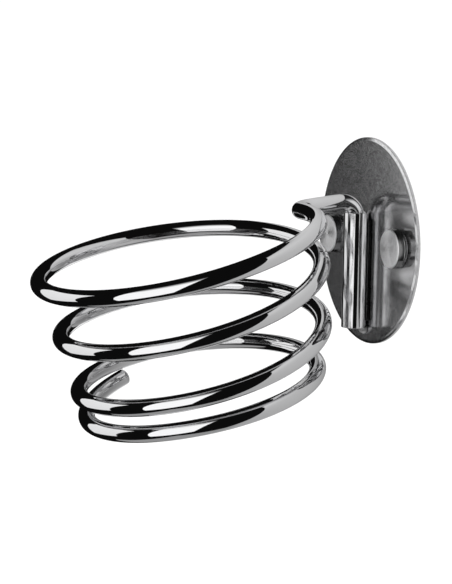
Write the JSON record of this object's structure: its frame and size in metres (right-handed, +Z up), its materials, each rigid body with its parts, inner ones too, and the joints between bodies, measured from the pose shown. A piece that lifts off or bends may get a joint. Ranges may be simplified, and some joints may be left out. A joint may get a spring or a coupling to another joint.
{
  "type": "hair dryer holder",
  "caption": "Wall-mounted chrome spiral that holds a hair dryer: a bent rod winds into a tapering open coil and swivels in an upright socket on a round plate.",
  "frame": {"origin": "centre of the round plate's back face, on the wall", "axes": "+Y into the wall, out of the plate's back face; the holder stands out towards -Y; +Z up along the socket; +X to the right as seen from the front"},
  "size_m": [0.146, 0.1794, 0.1379],
  "materials": {
    "satin_steel": "satin, fine grain, dark reflections",
    "polished_steel": "mirror polished tube",
    "weld_steel": "polished weld bead",
    "rod_chrome": "mirror chrome plating",
    "turned_steel": "fine turned face, knurled band",
    "nickel_brass": "nickel plated",
    "screw_steel": "zinc plated",
    "grey_nylon": "moulded, matte",
    "black_nylon": "moulded, matte"
  },
  "bodies": {
    "wall_base": {"wall_plate": "satin_steel", "socket_tube": "polished_steel", "weld_seam_left": "weld_steel", "weld_seam_right": "weld_steel", "weld_tack_lower": "weld_steel", "socket_bottom_plug": "black_nylon", "cap_bush_left": "nickel_brass", "cap_bush_right": "nickel_brass", "wall_screw_left": "screw_steel", "wall_screw_right": "screw_steel"},
    "swivel_sleeve": {"swivel_liner": "grey_nylon"},
    "spiral": {"spiral_rod": "rod_chrome"},
    "washer_left": {"cap_washer_left": "black_nylon"},
    "cap_left": {"screw_cap_left": "turned_steel"},
    "washer_right": {"cap_washer_right": "black_nylon"},
    "cap_right": {"screw_cap_right": "turned_steel"}
  },
  "joints": [
    {"name": "spiral_swivel", "type": "hinge", "parent": "wall_base", "child": "swivel_sleeve", "pos_m": [0, -0.0081, 0], "axis": [0, 0, 1], "range_deg": [-35, 35]},
    {"name": "spiral_lift", "type": "slide", "parent": "swivel_sleeve", "child": "spiral", "axis": [0, 0, 1], "range_m": [0, 0.052]},
    {"name": "cap_left_travel", "type": "slide", "parent": "wall_base", "child": "washer_left", "axis": [0, -1, 0], "range_m": [0, 0.003]},
    {"name": "cap_left_turn", "type": "hinge", "parent": "washer_left", "child": "cap_left", "pos_m": [-0.032, -0.005, 0], "axis": [0, -1, 0], "range_deg": [0, 1080]},
    {"name": "cap_right_travel", "type": "slide", "parent": "wall_base", "child": "washer_right", "axis": [0, -1, 0], "range_m": [0, 0.003]},
    {"name": "cap_right_turn", "type": "hinge", "parent": "washer_right", "child": "cap_right", "pos_m": [0.032, -0.005, 0], "axis": [0, -1, 0], "range_deg": [0, 1080]}
  ],
  "couplings": [
    {"joint": "cap_left_turn", "follows": "cap_left_travel", "rad_per_m": 6283},
    {"joint": "cap_right_turn", "follows": "cap_right_travel", "rad_per_m": 6283}
  ]
}
